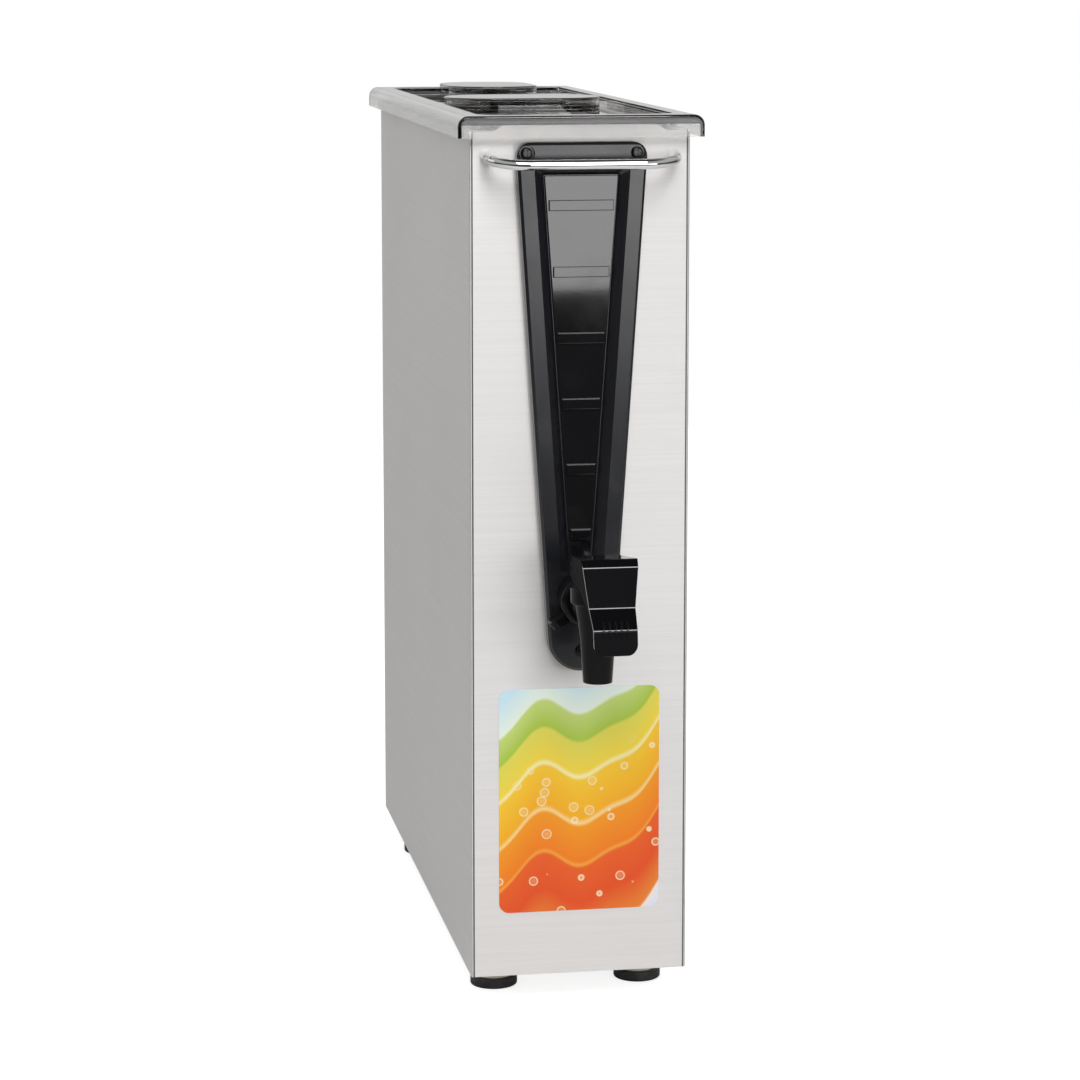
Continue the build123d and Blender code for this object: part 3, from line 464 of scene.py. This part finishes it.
def brushed_steel(name, low, high, streak_scale, roughness, anisotropy):
    """Steel with long streaks between two colours, and painted shade as a dark line at the seams.
    """
    material, tree, shader = new_finish(name, metallic=1.0)
    grain = place_group(tree, long_grain, fine_scale=streak_scale, broad_share=0.4)
    clouds = place_group(tree, handling_clouds, scale=7.0, low=0.35, high=0.75)
    clean = colour_between(tree, grain.outputs["Streak"], low, high)
    # Painted shade: a dark line along the sheet's outer edge, for the shadow in the seam's gap
    off_middle = number(tree, "ABSOLUTE", own_axes(tree, "Object")["X"])
    seam_shade = product(
        tree,
        soft_step(tree, off_middle, *seam_inner, 0.0, 1.0),
        soft_step(tree, off_middle, *seam_outer, 1.0, 0.0),
    )
    tree.links.new(colour_between(tree, seam_shade, clean, seam_shade_colour), shader.inputs["Base Color"])
    streak_rough = value_between(
        tree, grain.outputs["Streak"], roughness - rough_change, roughness + rough_change
    )
    handled_rough = product(tree, clouds.outputs["Mask"], rough_change)
    rough = number(tree, "ADD", handled_rough, streak_rough)
    tree.links.new(rough, shader.inputs["Roughness"])
    shader.inputs["Anisotropic"].default_value = anisotropy
    shader.inputs["Anisotropic Rotation"].default_value = quarter_turn
    tangent = tree.nodes.new("ShaderNodeTangent")
    tangent.direction_type = "RADIAL"
    tangent.axis = "Z"
    tree.links.new(tangent.outputs["Tangent"], shader.inputs["Tangent"])
    add_bump(tree, shader, grain.outputs["Height"], scratch_depth)
    return material


casing_steel = brushed_steel(
    "casing_steel", (0.70, 0.685, 0.675), (0.86, 0.845, 0.835), (9.0, 9.0, 1500.0), 0.5, 0.75
)
dress(casing_steel, "left_side_panel", "right_side_panel", "front_panel", "rear_panel")
pan_steel = brushed_steel(
    "pan_steel", (0.66, 0.65, 0.64), (0.80, 0.79, 0.78), (1200.0, 9.0, 9.0), 0.45, 0.0
)
dress(pan_steel, "base_pan")

# %% [markdown]
# ## Steel of the tank
# The tank is drawn and lightly polished, so it is smoother than the casing and mirrors a blurred
# picture of what is round it. It shows faintly through the clear lid. The bare fasteners, the
# spring and the pivot pin share its recipe.

# %% Tank steel
clouded_change = 0.07
polish_depth = 0.0000032


def polished_steel(name, low, high, roughness):
    """Steel whose colour and roughness cloud a little."""
    material, tree, shader = new_finish(name, metallic=1.0)
    clouds = place_group(tree, handling_clouds, scale=30.0, low=0.35, high=0.7).outputs["Mask"]
    tree.links.new(colour_between(tree, clouds, low, high), shader.inputs["Base Color"])
    rough = value_between(tree, clouds, roughness, roughness + clouded_change)
    tree.links.new(rough, shader.inputs["Roughness"])
    skin = place_group(tree, moulded_skin, peel_scale=1400.0, speck_scale=300.0)
    add_bump(tree, shader, skin.outputs["Peel"], polish_depth)
    return material


tank_steel = polished_steel("tank_steel", grey(0.60), (0.74, 0.74, 0.73), 0.24)
dress(tank_steel, "reservoir", "outlet_spud")
fastener_steel = polished_steel("fastener_steel", grey(0.56), (0.70, 0.70, 0.69), 0.28)
dress(
    fastener_steel,
    "rear_panel_screws", "foot_screws", "foot_nuts", "spud_nut", "trim_nuts",
    "handle_bar_washers", "handle_bar_nuts",
)
spring_wire = polished_steel("spring_wire", (0.50, 0.49, 0.47), (0.64, 0.63, 0.61), 0.2)
dress(spring_wire, "valve_spring")
pin_steel = polished_steel("pin_steel", grey(0.58), grey(0.70), 0.15)
dress(pin_steel, "pivot_pin")

# %% [markdown]
# ## Chrome of the handle bar
# Plated chrome is close to a mirror. Only a slight cloudiness from handling keeps it from
# looking like a computed mirror.

# %% Chrome
chrome, chrome_tree, chrome_shader = new_finish("bar_chrome", metallic=1.0)
chrome_clouds = place_group(chrome_tree, handling_clouds, scale=60.0, low=0.4, high=0.75)
chrome_mask = chrome_clouds.outputs["Mask"]
chrome_colour = colour_between(chrome_tree, chrome_mask, grey(0.88), grey(0.80))
chrome_rough = value_between(chrome_tree, chrome_mask, 0.02, 0.05)
chrome_tree.links.new(chrome_colour, chrome_shader.inputs["Base Color"])
chrome_tree.links.new(chrome_rough, chrome_shader.inputs["Roughness"])
dress(chrome, "handle_bar")

# %% [markdown]
# ## Black mouldings
# The V-shaped trim is satin, the level panel in it is polished, and the faucet and the painted
# screw heads lie between the two. They share one recipe: a near-black body colour, a roughness
# that clouds a little, a fine orange peel as bump, and specks of paler dust. How much of the
# studio each one mirrors is set by its index of refraction.

# %% Black mouldings
dust_gain, dust_lift = 1.5, 0.01
wiped_change = 0.05
coat_roughness = 0.03


def black_moulding(name, colour, roughness, peel, coat=0.0, ior=1.5):
    """A near-black plastic with dust specks, clouded roughness and an orange peel."""
    material, tree, shader = new_finish(name, ior=ior)
    clouds = place_group(tree, handling_clouds, scale=26.0, low=0.42, high=0.7)
    skin = place_group(tree, moulded_skin, peel_scale=700.0, speck_scale=420.0)
    pale = tuple(value * dust_gain + dust_lift for value in colour)
    dusty = colour_between(tree, skin.outputs["Specks"], colour, pale)
    tree.links.new(dusty, shader.inputs["Base Color"])
    rough = value_between(tree, clouds.outputs["Mask"], roughness, roughness + wiped_change)
    tree.links.new(rough, shader.inputs["Roughness"])
    shader.inputs["Coat Weight"].default_value = coat
    shader.inputs["Coat Roughness"].default_value = coat_roughness
    add_bump(tree, shader, skin.outputs["Peel"], peel)
    return material


trim_black = black_moulding("trim_black", (0.008, 0.0085, 0.0115), 0.23, 0.000008, ior=1.65)
dress(trim_black, "front_trim")
screw_black = black_moulding("screw_black", (0.006, 0.006, 0.007), 0.1, 0.000003, ior=1.4)
dress(screw_black, "trim_screws")
panel_gloss = black_moulding("panel_gloss", (0.006, 0.006, 0.007), 0.05, 0.000002, coat=0.6)
dress(panel_gloss, "level_panel")
faucet_black = black_moulding("faucet_black", (0.005, 0.005, 0.006), 0.18, 0.000006, ior=1.25)
dress(faucet_black, "faucet_body", "faucet_bonnet", "faucet_wing_nut")

# %% [markdown]
# ## Finish of the lever
# The lever comes from a polished mould, but its sides and the pad under the bend are matt, so
# that wet fingers don't slip. Hands polish the rounded edges and a narrow strip behind the front
# edges further, and these show as bright lines. Masks say where each look belongs. The matt
# ones change the roughness. The edge ones, made from the strip's place and from the way the
# roundings face, set the weight of a hard clear coat over a base that mirrors little.

# %% Finish of the lever
# The bend lies 2 mm behind and 14 mm above the low corner of the lever's box
lever_low = Vector(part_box("faucet_lever")[0])
bend_y, bend_z = lever_low.y + 0.0020, lever_low.z + 0.0140

# A lean is the way back for one unit up; the hood's line passes this far behind the bend
pad_lean, slope_lean, hood_lean, hood_back = 0.143, 0.952, 0.243, 0.0074

# Where each mask fades, as distances in metres and as parts of a face's direction
strip_edge = (0.0011, 0.0015)
pad_top = (-0.0012, -0.0007)
side_facing = (0.8, 0.9)
front_facing = (-0.9, -0.7)
round_facing_start, round_facing_end = (0.25, 0.29), (0.62, 0.67)
matt_roughness = 0.8

lever_black = black_moulding("lever_black", (0.004, 0.004, 0.005), 0.08, 0.000004, ior=1.45)
lever_tree = lever_black.node_tree
lever_place = own_axes(lever_tree, "Object")
lever_normal = own_axes(lever_tree, "Normal")
above_bend = difference(lever_tree, lever_place["Z"], bend_z)
behind_bend = difference(lever_tree, lever_place["Y"], bend_y)

# The front line in side view: pad below the bend, slope above it, then the hood's front
pad_line = product(lever_tree, above_bend, pad_lean)
slope_line = product(lever_tree, above_bend, slope_lean)
hood_line = number(lever_tree, "ADD", product(lever_tree, above_bend, hood_lean), hood_back)
flap_line = number(lever_tree, "MAXIMUM", pad_line, slope_line)
front_line = number(lever_tree, "MINIMUM", hood_line, flap_line)
from_front = difference(lever_tree, behind_bend, front_line)

sideways = number(lever_tree, "ABSOLUTE", lever_normal["X"])
on_side = soft_step(lever_tree, sideways, *side_facing, 0.0, 1.0)
behind_strip = soft_step(lever_tree, from_front, *strip_edge, 0.0, 1.0)
in_strip = soft_step(lever_tree, from_front, *strip_edge, 1.0, 0.0)
matt_pad = product(
    lever_tree,
    soft_step(lever_tree, above_bend, *pad_top, 1.0, 0.0),
    soft_step(lever_tree, lever_normal["Y"], *front_facing, 1.0, 0.0),
)
polished_round = product(
    lever_tree,
    soft_step(lever_tree, lever_normal["Z"], *round_facing_start, 0.0, 1.0),
    soft_step(lever_tree, lever_normal["Z"], *round_facing_end, 1.0, 0.0),
)
matt = number(lever_tree, "MAXIMUM", product(lever_tree, on_side, behind_strip), matt_pad)
polished = number(lever_tree, "MAXIMUM", product(lever_tree, on_side, in_strip), polished_round)

lever_inputs = principled(lever_black).inputs
lever_inputs["Specular IOR Level"].default_value = 0.16
lever_inputs["Coat IOR"].default_value = 1.85
lever_tree.links.new(polished, lever_inputs["Coat Weight"])
gloss_rough = lever_inputs["Roughness"].links[0].from_socket
lever_rough = value_between(lever_tree, matt, gloss_rough, matt_roughness)
lever_tree.links.new(lever_rough, lever_inputs["Roughness"])
dress(lever_black, "faucet_lever")

# %% [markdown]
# ## Rubber and pale mouldings
# The feet are black rubber on cream collars. Rubber is rough and slightly grey with dust, and
# the collars are an uncoloured moulding that has yellowed a little. The seals and the valve
# stem inside the faucet follow the same recipe.

# %% Rubber and pale mouldings
skin_change = 0.06


def soft_finish(name, low, high, roughness, peel_scale, peel):
    """A dull moulding whose colour clouds and whose roughness follows its skin."""
    material, tree, shader = new_finish(name)
    clouds = place_group(tree, handling_clouds, scale=90.0, low=0.4, high=0.7).outputs["Mask"]
    skin = place_group(tree, moulded_skin, peel_scale=peel_scale, speck_scale=500.0)
    tree.links.new(colour_between(tree, clouds, low, high), shader.inputs["Base Color"])
    rough = value_between(
        tree, skin.outputs["Peel"], roughness - skin_change, roughness + skin_change
    )
    tree.links.new(rough, shader.inputs["Roughness"])
    add_bump(tree, shader, skin.outputs["Peel"], peel)
    return material


foot_rubber = soft_finish(
    "foot_rubber", (0.016, 0.016, 0.017), (0.035, 0.034, 0.033), 0.5, 1800.0, 0.00003
)
dress(foot_rubber, "foot_pads")
seal_rubber = soft_finish("seal_rubber", grey(0.045), (0.07, 0.07, 0.068), 0.6, 1500.0, 0.00003)
dress(seal_rubber, "spud_gasket", "faucet_gasket", "seat_cup")
collar_plastic = soft_finish(
    "collar_plastic", (0.66, 0.61, 0.50), (0.74, 0.69, 0.58), 0.42, 900.0, 0.00002
)
dress(collar_plastic, "foot_collars")
stem_plastic = soft_finish(
    "stem_plastic", (0.72, 0.72, 0.69), (0.80, 0.80, 0.77), 0.35, 900.0, 0.00001
)
dress(stem_plastic, "valve_stem")

# %% [markdown]
# ## Clear lid and covers
# The lid is moulded in a clear, faintly smoky plastic. Full transmission with the plastic's own
# index of refraction bends the light at its edges, which is what draws the dark outlines of the
# walls. The rounded edges of both ends send hardly any light through, and the top's own
# thickness shows through the end wall as a dark band, so masks of the distance from the nearer
# end make these darker. The roughness is almost nothing, and a cloudy mask adds a little haze.

# %% Clear plastic
clear_plastic, clear_tree, clear_shader = new_finish("clear_plastic", ior=1.52)
clear_clouds = place_group(clear_tree, handling_clouds, scale=40.0, low=0.45, high=0.8)
clear_mask = clear_clouds.outputs["Mask"]
lid_low, lid_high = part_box("lid")
round_start, round_end = (0.00005, 0.0003), (0.0016, 0.0021)
clear_place = own_axes(clear_tree, "Object")
from_end = number(
    clear_tree, "MINIMUM",
    difference(clear_tree, clear_place["Y"], lid_low[1]),
    difference(clear_tree, lid_high[1], clear_place["Y"]),
)
end_edge = product(
    clear_tree,
    soft_step(clear_tree, from_end, *round_start, 0.0, 1.0),
    soft_step(clear_tree, from_end, *round_end, 1.0, 0.0),
)
below_top = difference(clear_tree, lid_high[2], clear_place["Z"])
centimetres_down = product(clear_tree, below_top, centimetres_per_metre)
band_by_height = colour_bands(clear_tree, centimetres_down, [
    (0.0, grey(1.0)), (0.25, grey(1.0)), (0.29, grey(0.97)), (0.41, grey(0.94)), (0.45, grey(1.0)),
    (0.49, grey(0.98)), (0.55, grey(0.0)),
])
end_wall = soft_step(clear_tree, from_end, *round_start, 1.0, 0.0)
end_dark = number(clear_tree, "MAXIMUM", product(clear_tree, end_wall, band_by_height), end_edge)
clear_colour = colour_between(clear_tree, clear_mask, (0.69, 0.68, 0.67), (0.65, 0.64, 0.64))
clear_colour = colour_between(clear_tree, end_dark, clear_colour, grey(0.0))
clear_rough = value_between(clear_tree, clear_mask, 0.015, 0.05)
clear_tree.links.new(clear_colour, clear_shader.inputs["Base Color"])
clear_tree.links.new(clear_rough, clear_shader.inputs["Roughness"])
clear_shader.inputs["Transmission Weight"].default_value = 1.0
dress(clear_plastic, "lid")

# %% [markdown]
# ## Rims of the covers
# Seen edge on, a clear cap shows thin dark lines: under its rounded top edge, and where its wall
# stands on the lid. They are places where light can't get through to the eye. The covers take
# the lid's plastic and add these lines by height above the covers' foot, on upright faces only.

# %% Rims of the covers
cover_plastic = clear_plastic.copy()
cover_plastic.name = "cover_plastic"
cover_tree = cover_plastic.node_tree
cover_colour = principled(cover_plastic).inputs["Base Color"]
plain_colour = cover_colour.links[0].from_socket
cover_foot_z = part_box("front_cover")[0][2]
above_foot = difference(cover_tree, own_axes(cover_tree, "Object")["Z"], cover_foot_z)
centimetres_up = product(cover_tree, above_foot, centimetres_per_metre)
upright_facing = (0.5, 0.7)
rim_lines = colour_bands(cover_tree, centimetres_up, [
    (0.0, grey(1.0)), (0.13, grey(1.0)), (0.18, grey(0.1)), (0.49, grey(0.1)), (0.52, grey(0.9)),
    (0.57, grey(0.9)), (0.60, grey(0.05)), (0.72, grey(0.05)), (0.75, grey(0.9)), (0.79, grey(0.9)),
    (0.82, grey(0.0)),
])
level_facing = number(cover_tree, "ABSOLUTE", own_axes(cover_tree, "Normal")["Z"])
upright = soft_step(cover_tree, level_facing, *upright_facing, 1.0, 0.0)
rim_mask = product(cover_tree, rim_lines, upright)
cover_tree.links.new(colour_between(cover_tree, rim_mask, plain_colour, grey(0.0)), cover_colour)
dress(cover_plastic, "front_cover", "rear_cover")

# %% [markdown]
# ## Printed label
# The plate below the faucet is where an owner puts a label. It has a glossy generic design
# that stands for no product: slanting waves from pale blue through lime and amber to deep
# orange, with rising bubbles. A colour ramp with close pairs of stops gives each wave a crisp
# edge and a soft body, as in a printed drawing. Two sines bend the waves, and a Voronoi
# texture cut flat gives round bubbles of many sizes. All of it is made from the plate's own
# coordinates, centred and scaled by a Mapping node.

# %% Printed label
label_low, label_high = (Vector(corner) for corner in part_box("label_plate"))
label_middle = (label_low + label_high) / 2
label_half = (label_high - label_low) / 2
slant, design_share, bubble_cells_per_metre = 0.34, 0.36, 80.0
print("label", [round(value * 2000, 1) for value in label_half], "mm")


def flat_place(tree, scale_x, scale_z):
    """The plate's own X and Z about its middle, scaled, with the thickness left out."""
    where = tree.nodes.new("ShaderNodeTexCoord")
    place = tree.nodes.new("ShaderNodeMapping")
    place.inputs["Scale"].default_value = (scale_x, 0.0, scale_z)
    moved_x, moved_z = -label_middle.x * scale_x, -label_middle.z * scale_z
    place.inputs["Location"].default_value = (moved_x, 0.0, moved_z)
    tree.links.new(where.outputs["Object"], place.inputs["Vector"])
    return place.outputs["Vector"]


def wave(tree, along, height, turns, start):
    """A sine wave of a given height along a coordinate."""
    angle = number(tree, "ADD", product(tree, along, turns), start)
    return product(tree, number(tree, "SINE", angle), height)


label_print, label_tree, label_shader = new_finish("label_print")
label_split = label_tree.nodes.new("ShaderNodeSeparateXYZ")
label_place = flat_place(label_tree, 1 / label_half.x, 1 / label_half.z)
label_tree.links.new(label_place, label_split.inputs[0])
across, upward = label_split.outputs["X"], label_split.outputs["Z"]
slanted = difference(label_tree, upward, product(label_tree, across, slant))
swell = number(
    label_tree, "ADD",
    wave(label_tree, across, 0.16, 3.2, 0.4),
    wave(label_tree, across, 0.05, 7.5, 1.9),
)
waved = number(label_tree, "ADD", slanted, swell)
level = number(label_tree, "ADD", product(label_tree, waved, design_share), 0.5)
tea_colours = colour_bands(label_tree, level, [
    (0.045, (0.80, 0.82, 0.92)), (0.075, (0.93, 0.80, 0.72)), (0.085, (0.86, 0.24, 0.03)),
    (0.20, (0.82, 0.085, 0.012)), (0.315, (0.86, 0.12, 0.014)), (0.325, (0.97, 0.40, 0.05)),
    (0.335, (0.93, 0.22, 0.01)), (0.45, (0.95, 0.33, 0.01)), (0.46, (1.0, 0.72, 0.30)),
    (0.475, (0.96, 0.44, 0.012)), (0.60, (0.97, 0.60, 0.03)), (0.61, (1.0, 0.90, 0.45)),
    (0.625, (0.93, 0.70, 0.06)), (0.72, (0.78, 0.72, 0.10)), (0.73, (0.42, 0.60, 0.06)),
    (0.81, (0.58, 0.72, 0.20)), (0.82, (0.84, 0.93, 0.80)), (0.93, (0.60, 0.82, 0.92)),
])

# Bubbles: close to a cell's middle there is a faint fill, then a bright rim, then nothing
bubble_cells = label_tree.nodes.new("ShaderNodeTexVoronoi")
cell_place = flat_place(label_tree, bubble_cells_per_metre, bubble_cells_per_metre)
label_tree.links.new(cell_place, bubble_cells.inputs["Vector"])
bubble_cells.inputs["Scale"].default_value = 1.0
bubble_shape = colour_bands(label_tree, bubble_cells.outputs["Distance"], [
    (0.0, grey(0.30)), (0.17, grey(0.12)), (0.205, grey(0.85)), (0.225, grey(0.85)),
    (0.245, grey(0.0)),
])
in_the_tea = soft_step(label_tree, level, 0.70, 0.56, 0.0, 1.0)
bubbles = product(label_tree, bubble_shape, in_the_tea)
label_colour = colour_between(label_tree, bubbles, tea_colours, (1.0, 0.84, 0.50))
label_tree.links.new(label_colour, label_shader.inputs["Base Color"])
label_shader.inputs["Roughness"].default_value = 0.25
label_shader.inputs["Specular IOR Level"].default_value = 0.3
label_shader.inputs["Coat Weight"].default_value = 0.15
label_shader.inputs["Coat Roughness"].default_value = 0.06
dress(label_print, "label_plate")

# %% [markdown]
# ## Grip ridges on the lever
# A finger pushes the flap up at its bend, so a plain row of grip ridges lies across it. Each
# is a short bar that follows the bend: a side outline of six points is extruded to the bar's
# width and its edges are rounded, as a mould maker's cutter would leave them. They belong to
# the lever and swing with it.

# %% Grip ridges
ridge_width, ridge_proud, ridge_sunk, ridge_round = 0.0013, 0.0008, 0.0004, 0.00018
ridge_spacing, ridge_count = 0.0033, 5
# Points of the flap's outer line about the bend, as y, z and the y and z of its outward normal
side_points = [
    (0.0038, 0.0040, -0.72, 0.69),
    (0.0, 0.0, -0.90, 0.44),
    (-0.0005, -0.0035, -0.99, 0.14),
]


def ridge_line(out):
    """The flap's outer line moved outwards, as (y, z) in the object's coordinates."""
    return [
        (bend_y + (y + out * out_y), bend_z + (z + out * out_z))
        for y, z, out_y, out_z in side_points
    ]


ridge_outline = ridge_line(ridge_proud) + ridge_line(-ridge_sunk)[::-1]
ridge_shape = bmesh.new()
for index in range(ridge_count):
    x = (index - (ridge_count - 1) / 2) * ridge_spacing - ridge_width / 2
    corners = [ridge_shape.verts.new((x, y, z)) for y, z in ridge_outline]
    side = ridge_shape.faces.new(corners)
    swept = bmesh.ops.extrude_face_region(ridge_shape, geom=[side])
    moved = [part for part in swept["geom"] if isinstance(part, bmesh.types.BMVert)]
    bmesh.ops.translate(ridge_shape, vec=(ridge_width, 0.0, 0.0), verts=moved)
bmesh.ops.recalc_face_normals(ridge_shape, faces=ridge_shape.faces)
bmesh.ops.bevel(
    ridge_shape, geom=ridge_shape.edges[:], offset=ridge_round, offset_type="OFFSET",
    affect="EDGES", segments=2, profile=0.5, material=-1, clamp_overlap=True,
)
ridge_mesh = bpy.data.meshes.new("lever_grip_ridges")
ridge_shape.to_mesh(ridge_mesh)
ridge_shape.free()
ridges = bpy.data.objects.new("lever_grip_ridges", ridge_mesh)
bpy.context.scene.collection.objects.link(ridges)
ridge_mesh.materials.append(lever_black)
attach(ridges, "lever")
print("ridges", ridge_count, "faces", len(ridge_mesh.polygons))
